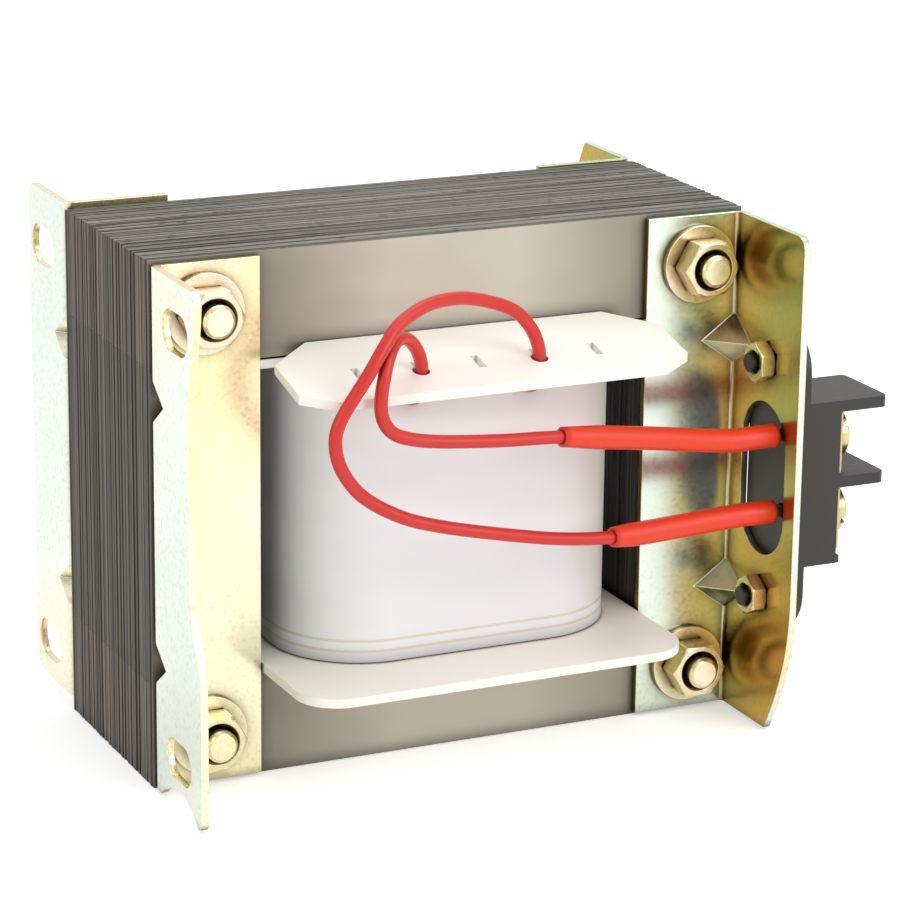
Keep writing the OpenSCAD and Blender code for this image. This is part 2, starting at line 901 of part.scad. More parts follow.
// Each plate has a tail that runs down through the block to the soldered end of a lead.
module terminal_plates() {
    color("#d8c58c")
        on_terminals() {
            difference() {
                translate([0, -plate_l / 2, -plate_w / 2])
                    cube([plate_t, plate_l, plate_w]);
                translate([-cut, 0, 0])
                    rotate([0, 90, 0])
                        cylinder(d = terminal_screw_d + screw_room, h = plate_t + 2 * cut);
            }
            translate([-block_body_h - tail_in, tail_out - plate_t / 2, tail_up - tail_w / 2])
                cube([block_body_h + tail_in + plate_t / 2, plate_t, tail_w]);
        }
}

module terminal_clamp_washers() {
    w = clamp_washer_w;
    color("#dccb94")
        on_terminals()
            translate([plate_t, -w / 2, -w / 2])
                difference() {
                    cube([plate_t, w, w]);
                    translate([-cut, w / 2, w / 2])
                        rotate([0, 90, 0])
                            cylinder(d = terminal_screw_d + screw_room, h = plate_t + 2 * cut);
                }
}

// Slotted screws; the two of a block are left turned at different angles.
module terminal_screws() {
    color("#d8c896")
        on_both_legs()
            for (i = [0, 1])
                translate([block_body_h + 2 * plate_t, 0, terminal_zs[i]])
                    rotate([slot_turns[i], 0, 0])
                        terminal_screw();
}

module terminal_screw() {
    shank_l = terminal_shank_l + 2 * plate_t - 2 * nut_room;
    difference() {
        rotate([0, 90, 0]) {
            cylinder(d = terminal_head_d, h = terminal_head_h - head_chamfer);
            translate([0, 0, terminal_head_h - head_chamfer])
                cylinder(d1 = terminal_head_d, d2 = terminal_head_d - 2 * head_chamfer, h = head_chamfer);
            translate([0, 0, -shank_l])
                cylinder(d = terminal_screw_d, h = shank_l + cut / 2);
        }
        translate([terminal_head_h - driver_slot_depth, -terminal_head_d, -driver_slot_w / 2])
            cube([driver_slot_depth + cut, 2 * terminal_head_d, driver_slot_w]);
    }
}

// Puts its children on both fixing holes of both blocks, at the leg's outer face.
module on_fixings() {
    on_both_legs()
        for (s = [-1, 1])
            translate([0, 0, s * ear_hole_out])
                rotate([0, 90, 0])
                    children();
}

// Cheese-headed screws through the ears and the leg.
module block_screws() {
    shank_l = ear_t + sheet_t + fixing_nut_h + fixing_stickout;
    color("#4a443a")
        on_fixings()
            translate([0, 0, ear_t])
                difference() {
                    union() {
                        cylinder(d = fixing_head_d, h = fixing_head_h - head_chamfer);
                        translate([0, 0, fixing_head_h - head_chamfer])
                            cylinder(d1 = fixing_head_d, d2 = fixing_head_d - 2 * head_chamfer, h = head_chamfer);
                        translate([0, 0, -shank_l])
                            cylinder(d = fixing_d, h = shank_l + cut / 2);
                    }
                    translate([-fixing_head_d, -driver_slot_w / 2, fixing_head_h - driver_slot_depth])
                        cube([2 * fixing_head_d, driver_slot_w, driver_slot_depth + cut]);
                }
}

module block_nuts() {
    color("#e3d9a8")
        on_fixings()
            translate([0, 0, -sheet_t])
                rotate([180, 0, 0])
                    nut(fixing_af, fixing_nut_h, fixing_d);
}

// ---------------------------------------------------------------- leads

function unit(v) = v / norm(v);

// Direction of a path at one of its points.
function heading(path, i) =
    i == 0 ? unit(path[1] - path[0])
    : i == len(path) - 1 ? unit(path[i] - path[i - 1])
    : unit(unit(path[i + 1] - path[i]) + unit(path[i] - path[i - 1]));

// A direction square to the path, carried along it without twisting.
function side(path, i) =
    i == 0 ? unit(cross(heading(path, 0), [0, 0, 1]))
    : let (h = heading(path, i), s = side(path, i - 1)) unit(s - h * (s * h));

// A ring of points round one point of a path.
function ring(path, i, r) =
    let (s = side(path, i), t = cross(heading(path, i), s))
    [for (k = [0:cord_sides - 1])
        let (a = 360 * k / cord_sides)
        path[i] + r * (cos(a) * s + sin(a) * t)];

function rings(path, r) = [for (i = [0:len(path) - 1]) each ring(path, i, r)];

// Triangles between two rows of ring points. The inner wall of a tube faces the other way.
function wall_faces(count, start, inner) =
    [for (i = [0:count - 2], k = [0:cord_sides - 1])
        let (n = cord_sides, a = start + i * n + k, b = start + i * n + (k + 1) % n,
            c = b + n, d = a + n)
        each inner ? [[a, b, c], [a, c, d]] : [[a, d, c], [a, c, b]]];

// A solid cord along a path.
module cord(path, d) {
    n = cord_sides;
    last = (len(path) - 1) * n;
    polyhedron(
        points = rings(path, d / 2),
        faces = concat(
            [[for (k = [0:n - 1]) k], [for (k = [n - 1:-1:0]) last + k]],
            wall_faces(len(path), 0, false)));
}

// A hollow sleeve along a path.
module sleeve(path, d, bore_d) {
    n = cord_sides;
    count = len(path);
    inner = count * n;
    last = (count - 1) * n;
    polyhedron(
        points = concat(rings(path, d / 2), rings(path, bore_d / 2)),
        faces = concat(
            wall_faces(count, 0, false),
            wall_faces(count, inner, true),
            [for (k = [0:n - 1])
                let (m = (k + 1) % n)
                each [[k, m, inner + m], [k, inner + m, inner + k],
                    [last + k, last + inner + m, last + m], [last + k, last + inner + k, last + inner + m]]]));
}

// The part of a lead's route that its sleeve covers, and on over the solder tail.
function sleeve_path(route, from) =
    let (end = route[len(route) - 1])
    concat([for (i = [from:len(route) - 1]) route[i]], [[sleeve_end_x, end[1], end[2]]]);

module lead_a() {
    color("#d4281f")
        cord(lead_a_route, lead_d);
}

module lead_b() {
    color("#d4281f")
        cord(lead_b_route, lead_d);
}

module sleeve_a() {
    color("#ee3a1a")
        sleeve(sleeve_path(lead_a_route, sleeve_a_from), sleeve_d, sleeve_bore_d);
}

module sleeve_b() {
    color("#ee3a1a")
        sleeve(sleeve_path(lead_b_route, sleeve_b_from), sleeve_d, sleeve_bore_d);
}

// ---------------------------------------------------------------- the whole part
e_laminations();
i_laminations();
bobbin();
primary_winding();
interwinding_insulation();
secondary_winding();
outer_wrap();
front_left_bracket();
back_left_bracket();
front_right_bracket();
back_right_bracket();
clamp_bolts();
clamp_nuts();
clamp_washers();
bolt_sleeves();
front_terminal_block();
rear_terminal_block();
terminal_nuts();
terminal_plates();
terminal_clamp_washers();
terminal_screws();
block_screws();
block_nuts();
lead_a();
lead_b();
sleeve_a();
sleeve_b();
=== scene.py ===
# %% [markdown]
# # A laminated chassis transformer
# A small open transformer stands on a pale table. Thin steel sheets are clamped into a block,
# a coil sits on a white bobbin in its windows, and plated brackets carry it and its terminals.
# The lesson builds its looks round a fixed frame, which already holds every part at its real
# size. First the frame is loaded. Nothing in it is moved afterwards.

# %% Load the frame
import math
import random

import bpy
from mathutils import Matrix, Vector


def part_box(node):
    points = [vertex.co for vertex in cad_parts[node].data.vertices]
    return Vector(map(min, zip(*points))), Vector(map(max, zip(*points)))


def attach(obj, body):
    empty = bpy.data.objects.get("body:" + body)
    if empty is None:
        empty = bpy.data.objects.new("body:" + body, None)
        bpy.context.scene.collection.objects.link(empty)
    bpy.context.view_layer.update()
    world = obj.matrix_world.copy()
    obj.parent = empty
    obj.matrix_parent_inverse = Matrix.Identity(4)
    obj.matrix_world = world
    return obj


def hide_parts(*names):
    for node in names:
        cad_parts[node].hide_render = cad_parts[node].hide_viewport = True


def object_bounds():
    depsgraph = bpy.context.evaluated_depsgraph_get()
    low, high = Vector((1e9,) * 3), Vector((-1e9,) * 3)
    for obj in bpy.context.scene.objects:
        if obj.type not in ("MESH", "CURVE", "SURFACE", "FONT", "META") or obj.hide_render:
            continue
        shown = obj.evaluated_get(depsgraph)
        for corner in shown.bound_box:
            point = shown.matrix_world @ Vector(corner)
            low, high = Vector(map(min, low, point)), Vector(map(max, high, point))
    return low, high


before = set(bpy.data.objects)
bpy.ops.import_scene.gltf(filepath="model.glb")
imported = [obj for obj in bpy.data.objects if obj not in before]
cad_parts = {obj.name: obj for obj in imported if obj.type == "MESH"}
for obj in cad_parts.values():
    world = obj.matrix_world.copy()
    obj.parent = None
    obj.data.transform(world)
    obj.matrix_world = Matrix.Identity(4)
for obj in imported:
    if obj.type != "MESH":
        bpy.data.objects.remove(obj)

cad_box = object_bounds()
print("frame box", [round(v * 1000, 2) for corner in cad_box for v in corner])

# %% [markdown]
# Blender works in metres, and this object is described in millimetres, so one constant turns
# one into the other. Operators work on whatever is selected, and a freshly loaded frame is
# selected all over, so a helper first clears the selection and then picks one object.

# %% Units and selection
MM = 0.001


def mm(*values):
    return Vector([value * MM for value in values])


def only(thing):
    """Leaves one object selected and active."""
    bpy.ops.object.select_all(action="DESELECT")
    thing.hide_set(False)
    thing.select_set(True)
    bpy.context.view_layer.objects.active = thing
    return thing


def settle(thing):
    """Puts an object's place, turn and scale into its mesh."""
    only(thing)
    bpy.ops.object.transform_apply(location=True, rotation=True, scale=True)


def apply_modifier(thing, kind, **settings):
    only(thing)
    modifier = thing.modifiers.new(kind.title(), kind)
    for name, value in settings.items():
        setattr(modifier, name, value)
    bpy.ops.object.modifier_apply(modifier=modifier.name)


bpy.ops.object.select_all(action="DESELECT")
print("parts in the frame:", len(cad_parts))

# %% [markdown]
# The camera comes first, because cords must be laid where it sees them. It looks from the
# front left and a little above, through a long lens, so that the block's edges stay nearly
# parallel. Its turn is built from three plain angles: round the object, down, and a slight
# tilt of the horizon.

# %% Camera
CAMERA_PLACE = mm(-225.64, -480.99, 198.47)
CAMERA_ROUND = -25.102
CAMERA_DOWN = 16.559
CAMERA_TILT = 0.722
LENS = 142.39
SENSOR_W = 36

bpy.ops.object.camera_add(location=CAMERA_PLACE)
camera = bpy.context.object
camera.name = "camera"
turn = (
    Matrix.Rotation(math.radians(CAMERA_ROUND), 4, "Z")
    @ Matrix.Rotation(math.radians(90 - CAMERA_DOWN), 4, "X")
    @ Matrix.Rotation(math.radians(CAMERA_TILT), 4, "Z")
)
camera.rotation_euler = turn.to_euler()
camera.data.lens = LENS
camera.data.sensor_width = SENSOR_W
bpy.context.scene.camera = camera
print("camera is", round(camera.location.length, 3), "m from the origin")

# %% [markdown]
# A material is a small graph of nodes. One helper adds a node, sets what it is told to set,
# and links the sockets that it is given, so every graph below reads as a list. Colours are
# written as the familiar hex values, which are sRGB, and one function turns them to the
# linear values that a renderer works with. Another helper paints shade into a colour in tight
# corners, where little light comes in, by asking how open the air is nearby.

# %% Material helpers
def linear(hex_colour):
    """An sRGB hex colour as linear red, green, blue and alpha."""
    parts = [int(hex_colour[i:i + 2], 16) / 255 for i in (1, 3, 5)]
    return tuple(c / 12.92 if c <= 0.04045 else ((c + 0.055) / 1.055) ** 2.4 for c in parts) + (1,)


def add(tree, kind, inputs=(), stops=None, **settings):
    """Adds one shader node; inputs name a socket and give it a value or a socket to link."""
    made = tree.nodes.new("ShaderNode" + kind)
    for name, value in settings.items():
        setattr(made, name, value)
    for name, value in dict(inputs).items():
        socket = made.inputs[name]
        if isinstance(value, bpy.types.NodeSocket):
            tree.links.new(value, socket)
        else:
            socket.default_value = value
    if stops:
        elements = made.color_ramp.elements
        while len(elements) < len(stops):
            elements.new(0.5)
        for element, (position, colour) in zip(elements, stops):
            element.position = position
            element.color = linear(colour) if isinstance(colour, str) else (colour,) * 3 + (1,)
    return made


def new_material(name):
    """A material, its node tree, its surface shader and its coordinates on the object."""
    material = bpy.data.materials.new(name)
    material.use_nodes = True
    tree = material.node_tree
    shader = tree.nodes["Principled BSDF"]
    place = add(tree, "TexCoord")
    return material, tree, shader, place


CORNER_SAMPLES = 8


def paint_corner_shade(tree, colour, dark, reach_mm, bite):
    """Paints shade into a colour where surfaces nearly meet; a higher bite spreads the painted shade
    further.
    """
    near = add(tree, "AmbientOcclusion", {"Distance": reach_mm * MM}, samples=CORNER_SAMPLES)
    open_air = add(tree, "Math", {0: near.outputs["AO"], 1: bite}, operation="POWER")
    mixed = add(tree, "Mix", {0: open_air.outputs[0], 6: linear(dark), 7: colour}, data_type="RGBA")
    return mixed.outputs[2]


def dress(thing, material):
    thing.data.materials.clear()
    thing.data.materials.append(material)


# %% [markdown]
# The table is a wide pale sheet, and the surroundings are white. Both have to look white to
# the camera and in reflections without throwing more light on the object, so the world is
# brighter only for camera, mirror and glass rays. The lamps are large and weak: one on each
# side of the camera and one above, so that no shadow has a hard edge and a colour renders
# about as it is written.

# %% Table
TABLE_SIZE = 6.0
TABLE_GLOW = 0.45

def seen_directly(tree):
    """1 for camera, mirror and glass rays, and 0 for the light that falls on things."""
    path = add(tree, "LightPath")
    seen = path.outputs["Is Camera Ray"]
    for kind in ("Is Glossy Ray", "Is Transmission Ray"):
        either = add(tree, "Math", {0: seen, 1: path.outputs[kind]}, operation="MAXIMUM")
        seen = either.outputs[0]
    return seen


bpy.ops.mesh.primitive_plane_add(size=TABLE_SIZE, location=(0, 0, cad_box[0].z))
table = bpy.context.object
table.name = "table"
settle(table)
table_paint, tree, shader, place = new_material("matt_white_table")
shader.inputs["Base Color"].default_value = linear("#f4f4f2")
shader.inputs["Roughness"].default_value = 0.9
shader.inputs["Specular IOR Level"].default_value = 0.1
glow = add(tree, "Emission", {"Color": (1, 1, 1, 1), "Strength": TABLE_GLOW})
plain = add(tree, "Emission", {"Color": (1, 1, 1, 1), "Strength": 0.0})
chosen = add(tree, "MixShader", {0: seen_directly(tree), 1: plain.outputs[0], 2: glow.outputs[0]})
both = add(tree, "AddShader", {0: shader.outputs[0], 1: chosen.outputs[0]})
tree.links.new(both.outputs[0], tree.nodes["Material Output"].inputs["Surface"])
dress(table, table_paint)
print("table is", TABLE_SIZE, "m wide")

# %% World and lamps
AMBIENT = 0.62
AIM = mm(-8, 0, 40)

world = bpy.data.worlds.new("white_room")
bpy.context.scene.world = world
world.use_nodes = True
tree = world.node_tree
strength = add(tree, "MapRange", {0: seen_directly(tree), 3: AMBIENT, 4: 1.0})
background = tree.nodes["Background"]
background.inputs["Color"].default_value = (1, 1, 1, 1)
tree.links.new(strength.outputs[0], background.inputs["Strength"])

for name, place_mm, size_mm, watts in (
    ("lamp_front_right", (260, -520, 330), 420, 1.5),
    ("lamp_left", (-560, -160, 260), 380, 0.6),
    ("lamp_top", (60, 60, 620), 520, 1.05),
):
    bpy.ops.object.light_add(type="AREA", location=mm(*place_mm))
    lamp = bpy.context.object
    lamp.name = name
    lamp.data.size = size_mm * MM
    lamp.data.energy = watts
    aim = AIM - lamp.location
    lamp.rotation_euler = aim.to_track_quat("-Z", "Y").to_euler()

    print(name, watts, "W")

bpy.context.scene.view_settings.view_transform = "Standard"

# %% [markdown]
# Two red leads leave the coil through the shelf, arch over its front edge and run to the
# solder tails of the terminal block. Each is PVC-covered wire of medium stiffness, held at
# both ends, so its route is a list of given points, the same as for the frame's own
# leads. Chosen points keep the leads where they really lie, which a simulation would not.

# %% Routes of the leads
LEAD_A = [
    (-19, -26.1, 58.1), (-19, -26.8, 58.1), (-19, -28.2, 58.7), (-19, -29.3, 60),
    (-19, -29.8, 61.9), (-19.1, -29.9, 64.4), (-20.2, -30.3, 66.8), (-22.4, -31.8, 68.7),
    (-25, -34.2, 69), (-27, -36.4, 67.6), (-28.3, -37.7, 65), (-28.9, -38, 62),
    (-28.7, -38, 59.3), (-27.3, -38, 57), (-24.4, -37.8, 55.6), (-19.2, -37.4, 54.5),
    (-9.3, -36.5, 53.3), (1, -35.4, 52.4), (10, -34.6, 51.1), (18.5, -34, 49.8),
    (26, -33.4, 48.5), (31, -33.2, 47.9), (35, -33.2, 47.9)]
LEAD_B = [
    (0, -26.1, 58.1), (0, -26.8, 58.1), (0, -28.2, 58.7), (0, -29.3, 60),
    (0, -29.8, 61.9), (-0.3, -29.8, 65), (-2, -29.9, 68.3), (-5.4, -30.2, 71.2),
    (-12.7, -31.5, 73.6), (-19.4, -33.4, 73.8), (-24.8, -35.4, 72), (-27.9, -37, 69.4),
    (-30.8, -37.9, 65.7), (-34.8, -38, 60), (-35.9, -38, 56.4), (-34.9, -38, 52.2),
    (-31.6, -38, 47.9), (-25.7, -37.9, 44.2), (-19.1, -37.5, 41.8), (-9.3, -37, 39.3),
    (1, -36, 37), (10, -35, 35.8), (16, -34.2, 35.6), (31, -33.2, 35.9), (35, -33.2, 35.9)]
SLEEVE_A_FROM = 17
SLEEVE_B_FROM = 21
SLEEVE_END_X = 38.2
STEPS_BETWEEN_POINTS = 6


def smooth_route(points, steps):
    """Points of a smooth curve that passes through every given point (Catmull-Rom)."""
    ends = [2 * points[0] - points[1]] + list(points) + [2 * points[-1] - points[-2]]
    route = []
    for a, b, c, d in zip(ends, ends[1:], ends[2:], ends[3:]):
        for i in range(steps):
            t = i / steps
            route.append(0.5 * (
                2 * b + (c - a) * t + (2 * a - 5 * b + 4 * c - d) * t ** 2
                + (3 * b - a - 3 * c + d) * t ** 3))
    return route + [points[-1]]


def length_of(route):
    return sum((b - a).length for a, b in zip(route, route[1:]))


# %% [markdown]
# A smooth curve through the points is given a round section and turned into a mesh, which is
# simpler than bending a cylinder. A sleeve is a second, wider tube over the end of a lead. It
# was shrunk on, so its first points are pressed thinner, and it is open, so it gets a wall.
# The lead is drawn a hair under its 2 mm, to stay inside the frame's box where it swings out.

# %% Tubes for leads and sleeves
LEAD_D = 1.98
SLEEVE_D = 3.6
SLEEVE_BORE_D = 2.3
PRESSED = 0.84
PRESSED_POINTS = 4
TUBE_ROUNDNESS = 6
SMOOTH_BELOW = math.radians(40)


def swept_tube(name, route, diameter, pressed_points=0, capped=True):
    """A round tube along a route, as a mesh; its first points may be pressed thinner."""
    curve = bpy.data.curves.new(name, "CURVE")
    curve.dimensions = "3D"
    spline = curve.splines.new("POLY")
    spline.points.add(len(route) - 1)
    for i, (point, spot) in enumerate(zip(spline.points, route)):
        point.co = (*spot, 1)
        if i < pressed_points:
            point.radius = PRESSED + (1 - PRESSED) * i / pressed_points
    spline.use_smooth = True
    curve.bevel_depth = diameter / 2
    curve.bevel_resolution = TUBE_ROUNDNESS
    curve.use_fill_caps = capped
    thing = bpy.data.objects.new(name, curve)
    bpy.context.scene.collection.objects.link(thing)
    only(thing)
    bpy.ops.object.convert(target="MESH")
    thing = bpy.context.object
    bpy.ops.object.shade_smooth_by_angle(angle=SMOOTH_BELOW)
    return thing


def sleeve_tube(name, points, start):
    """A hollow sleeve over the end of a lead: a swept tube, opened and given its wall."""
    last = points[-1]
    covered = [mm(*p) for p in points[start:]] + [mm(SLEEVE_END_X, last[1], last[2])]
    route = smooth_route(covered, STEPS_BETWEEN_POINTS)
    thing = swept_tube(name, route, SLEEVE_D * MM, pressed_points=PRESSED_POINTS, capped=False)
    apply_modifier(thing, "SOLIDIFY", thickness=(SLEEVE_D - SLEEVE_BORE_D) / 2 * MM, offset=-1)
    return thing


# %% [markdown]
# Each lead then stands for the frame's lead. Its route and thickness are given above, and its
# length is printed.

# %% The two leads
leads = []
for letter, points, start in (("a", LEAD_A, SLEEVE_A_FROM), ("b", LEAD_B, SLEEVE_B_FROM)):
    route = smooth_route([mm(*p) for p in points], STEPS_BETWEEN_POINTS)
    lead = swept_tube("red_lead_" + letter, route, LEAD_D * MM)
    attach(lead, "root")
    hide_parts("lead_" + letter)
    sleeve = sleeve_tube("lead_sleeve_" + letter, points, start)
    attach(sleeve, "root")
    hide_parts("sleeve_" + letter)
    leads.append((lead, sleeve))
    print("lead", letter, "is", round(length_of(route) * 1000, 1), "mm long")

# %% [markdown]
# Most parts already have their right shape in the frame, but a real pressing or moulding has
# no razor edges. A frame mesh must not be touched, so a copy of it is worked on: doubled
# points are merged, flat areas are joined into single faces, and a narrow bevel rounds every
# sharp edge, which is what catches the light. The copy then stands for the frame's part.

# %% A copy with rounded edges
MERGE_WITHIN = 0.004 * MM
FLAT_WITHIN = math.radians(0.5)
SHARP_FROM = math.radians(30)
BEVEL_SEGMENTS = 2


def rounded_copy(node, name, width):
    """A copy of a frame part with its sharp edges rounded, ready to stand for that part."""
    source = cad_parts[node]
    only(source)
    bpy.ops.object.duplicate()
    thing = bpy.context.object
    thing.name = name
    thing.parent = None
    for key in [key for key in thing.keys() if key.startswith("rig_")]:
        del thing[key]
    bpy.ops.object.mode_set(mode="EDIT")
    bpy.ops.mesh.select_all(action="SELECT")
    bpy.ops.mesh.remove_doubles(threshold=MERGE_WITHIN)
    bpy.ops.mesh.dissolve_limited(angle_limit=FLAT_WITHIN)
    bpy.ops.object.mode_set(mode="OBJECT")
    bpy.ops.mesh.customdata_custom_splitnormals_clear()
    apply_modifier(thing, "BEVEL", width=width * MM, segments=BEVEL_SEGMENTS, limit_method="ANGLE",
                   angle_limit=SHARP_FROM, use_clamp_overlap=True)
    bpy.ops.object.shade_smooth_by_angle(angle=SHARP_FROM)
    apply_modifier(thing, "WEIGHTED_NORMAL", keep_sharp=True)
    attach(thing, "root")
    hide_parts(node)
    return thing


# %% [markdown]
# Each row names the frame's part, the copy, the width of its rounded edge in millimetres and
# the kind of material it will have. Moulded plastic is rounder than stamped steel.

# %% Round every visible rigid part
ROUNDED = (
    ("bobbin", "moulded_bobbin", 0.25, "bobbin_plastic"),
    ("front_left_bracket", "front_left_plate", 0.18, "bracket_steel"),
    ("back_left_bracket", "back_left_plate", 0.18, "bracket_steel"),
    ("front_right_bracket", "front_right_plate", 0.18, "bracket_steel"),
    ("back_right_bracket", "back_right_plate", 0.18, "bracket_steel"),
    ("clamp_nuts", "hexagon_nuts", 0.12, "fastener_steel"),
    ("clamp_bolts", "hexagon_bolts", 0.12, "fastener_steel"),
    ("clamp_washers", "round_washers", 0.12, "fastener_steel"),
    ("front_terminal_block", "front_block", 0.3, "block_plastic"),
    ("rear_terminal_block", "rear_block", 0.3, "block_plastic"),
    ("terminal_plates", "tailed_plates", 0.1, "terminal_brass"),
    ("terminal_clamp_washers", "square_washers", 0.12, "terminal_brass"),
    ("terminal_screws", "slotted_screws", 0.15, "terminal_brass"),
    ("block_screws", "dark_screws", 0.15, "dark_steel"),
    ("block_nuts", "small_nuts", 0.1, "fastener_steel"),
    ("outer_wrap", "film_wrap", 0.3, "coil_wrap"),
)
copies = {}
for node, name, width, slot in ROUNDED:
    copies[node] = rounded_copy(node, name, width)
    print(name, len(copies[node].data.polygons), "faces")

# %% [markdown]
# The core is a stack of punched sheets, half a millimetre thick. One E and one I are stamped
# here from a plane: it is cut along the limbs' edges, the window faces are deleted, and what
# is left is extruded to the sheet's thickness. Seventy-two copies are stacked, four by four
# with the E's turned end for end, and each lies a hair out of line, as loose sheets do.

# %% Sizes of the core's sheets
SHEETS_IN_GROUP = 4
GROUPS = 18
SHEET_SHARE = 0.9
core_low, core_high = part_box("e_laminations")
core_mid = (core_low + core_high) / 2
core_w = core_high.x - core_low.x
core_h = core_high.z - core_low.z
YOKE = 16 * MM
LIMB = 16 * MM
TONGUE = 32 * MM
BOLT_INSET = 8 * MM
HOLE_D = 6.6 * MM
sheet_pitch = (core_high.y - core_low.y) / (GROUPS * SHEETS_IN_GROUP)
sheet_t = SHEET_SHARE * sheet_pitch
slack = 0.09 * MM
joint_gap = 0.03 * MM
print("sheets lie", round(sheet_pitch / MM, 3), "mm apart")

# %% [markdown]
# A sheet starts as a plane that stands in X and Z. Two helpers give it thickness and punch its
# bolt holes, as the press would. A punch is a cylinder that is cut away and then removed.

# %% Press tools
HOLE_SIDES = 20
PUNCH_L = 10 * sheet_t
UPRIGHT = (math.radians(90), 0, 0)


def stamped_plate(name, low, high):
    """A plate standing in X and Z, with its back on Y = 0."""
    middle = (low + high) / 2
    bpy.ops.mesh.primitive_plane_add(size=1, location=(middle.x, 0, middle.z),
                                     rotation=UPRIGHT)
    plate = bpy.context.object
    plate.name = name
    plate.scale = (high.x - low.x, high.z - low.z, 1)
    settle(plate)
    return plate


def give_thickness(plate):
    only(plate)
    bpy.ops.object.mode_set(mode="EDIT")
    bpy.ops.mesh.select_all(action="SELECT")
    bpy.ops.mesh.dissolve_limited(angle_limit=math.radians(1))
    bpy.ops.mesh.extrude_region_move(TRANSFORM_OT_translate={"value": (0, sheet_t, 0)})
    bpy.ops.mesh.select_all(action="SELECT")
    bpy.ops.mesh.normals_make_consistent(inside=False)
    bpy.ops.object.mode_set(mode="OBJECT")


def punch_holes(plate, z):
    """Punches the two bolt holes at one height."""
    for side in (-1, 1):
        x = core_mid.x + side * (core_w / 2 - BOLT_INSET)
        bpy.ops.mesh.primitive_cylinder_add(vertices=HOLE_SIDES, radius=HOLE_D / 2,
                                            depth=PUNCH_L, location=(x, 0, z), rotation=UPRIGHT)
        punch = bpy.context.object
        settle(punch)
        apply_modifier(plate, "BOOLEAN", operation="DIFFERENCE", object=punch, solver="EXACT")
        bpy.data.objects.remove(punch)


# %% [markdown]
# The E is cut along the edges of its three legs and of its back, and the two windows' faces
# are picked by where they lie and deleted. Then it gets its thickness and its lower holes.

# %% The E sheet
e_low = Vector((core_low.x + slack, 0, core_low.z + slack))
e_high = Vector((core_high.x - slack, 0, core_high.z - YOKE - joint_gap))
e_sheet = stamped_plate("e_sheet", e_low, e_high)
bpy.ops.object.mode_set(mode="EDIT")
leg_edges = (TONGUE / 2, core_w / 2 - LIMB)
for x in [core_mid.x + side * edge for side in (-1, 1) for edge in leg_edges]:
    bpy.ops.mesh.select_all(action="SELECT")
    bpy.ops.mesh.bisect(plane_co=(x, 0, 0), plane_no=(1, 0, 0))
bpy.ops.mesh.select_all(action="SELECT")
bpy.ops.mesh.bisect(plane_co=(0, 0, core_low.z + YOKE), plane_no=(0, 0, 1))
bpy.ops.mesh.select_all(action="DESELECT")
bpy.ops.object.mode_set(mode="OBJECT")
for face in e_sheet.data.polygons:
    across = abs(face.center.x - core_mid.x)
    in_window = leg_edges[0] < across < leg_edges[1]
    face.select = in_window and face.center.z > core_low.z + YOKE
bpy.ops.object.mode_set(mode="EDIT")
bpy.ops.mesh.delete(type="FACE")
bpy.ops.object.mode_set(mode="OBJECT")
give_thickness(e_sheet)
punch_holes(e_sheet, core_low.z + BOLT_INSET)

# %% [markdown]
# The I is a plain strip that closes the E's open end. The hair of a gap between the two is
# where the dark joint lines of the core come from.

# %% The I sheet
i_low = Vector((core_low.x + slack, 0, core_high.z - YOKE + joint_gap))
i_high = Vector((core_high.x - slack, 0, core_high.z - slack))
i_sheet = stamped_plate("i_sheet", i_low, i_high)
give_thickness(i_sheet)
punch_holes(i_sheet, core_high.z - BOLT_INSET)
print("one E has", len(e_sheet.data.polygons), "faces, one I", len(i_sheet.data.polygons))

# %% [markdown]
# Turning a sheet end for end is a half turn about the block's own Y axis. The copies are
# shifted by a small random amount, always the same because the draw is seeded, and are then
# joined, so that the stack is one object that needs one material.

# %% Stack the sheets
SHUFFLE = 12


def stack(sheet, name, node):
    random.seed(SHUFFLE)
    half_turn = (Matrix.Translation(Vector((core_mid.x, 0, core_mid.z)))
                 @ Matrix.Rotation(math.pi, 4, "Y")
                 @ Matrix.Translation(-Vector((core_mid.x, 0, core_mid.z))))
    made = []
    for i in range(GROUPS * SHEETS_IN_GROUP):
        copy = sheet.copy()
        copy.data = sheet.data.copy()
        bpy.context.scene.collection.objects.link(copy)
        if (i // SHEETS_IN_GROUP) % 2:
            copy.data.transform(half_turn)
        shift = Vector((random.uniform(-1, 1) * slack, 0, random.uniform(-1, 1) * slack))
        place = Vector((0, core_low.y + i * sheet_pitch, 0))
        copy.data.transform(Matrix.Translation(shift + place))
        made.append(copy)
    bpy.ops.object.select_all(action="DESELECT")
    for copy in made:
        copy.select_set(True)
    bpy.context.view_layer.objects.active = made[0]
    bpy.ops.object.join()
    whole = bpy.context.object
    whole.name = name
    bpy.data.objects.remove(sheet)
    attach(whole, "root")
    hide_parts(node)
    return whole


e_stack = stack(e_sheet, "e_sheets", "e_laminations")
i_stack = stack(i_sheet, "i_sheets", "i_laminations")
print("sheets stacked:", GROUPS * SHEETS_IN_GROUP, "pairs")

# %% [markdown]
# Transformer sheet is silicon steel with a thin dull varnish, so it is only partly metallic to
# the eye and quite rough. Its cut edges are bare and stained, and shade is painted dark into
# the gaps. First come the two numbers that all its colours use: which way a face points, and a
# tone that belongs to one sheet, broken by fine streaks along the cut. The streaks are drawn as
# thin as a sheet across the stack and about 20 mm long beside it.

# %% Tone of each sheet
# Streaks per metre, along the cut and across the stack.
STREAKS_ALONG = 45
STREAKS_ACROSS = 1900

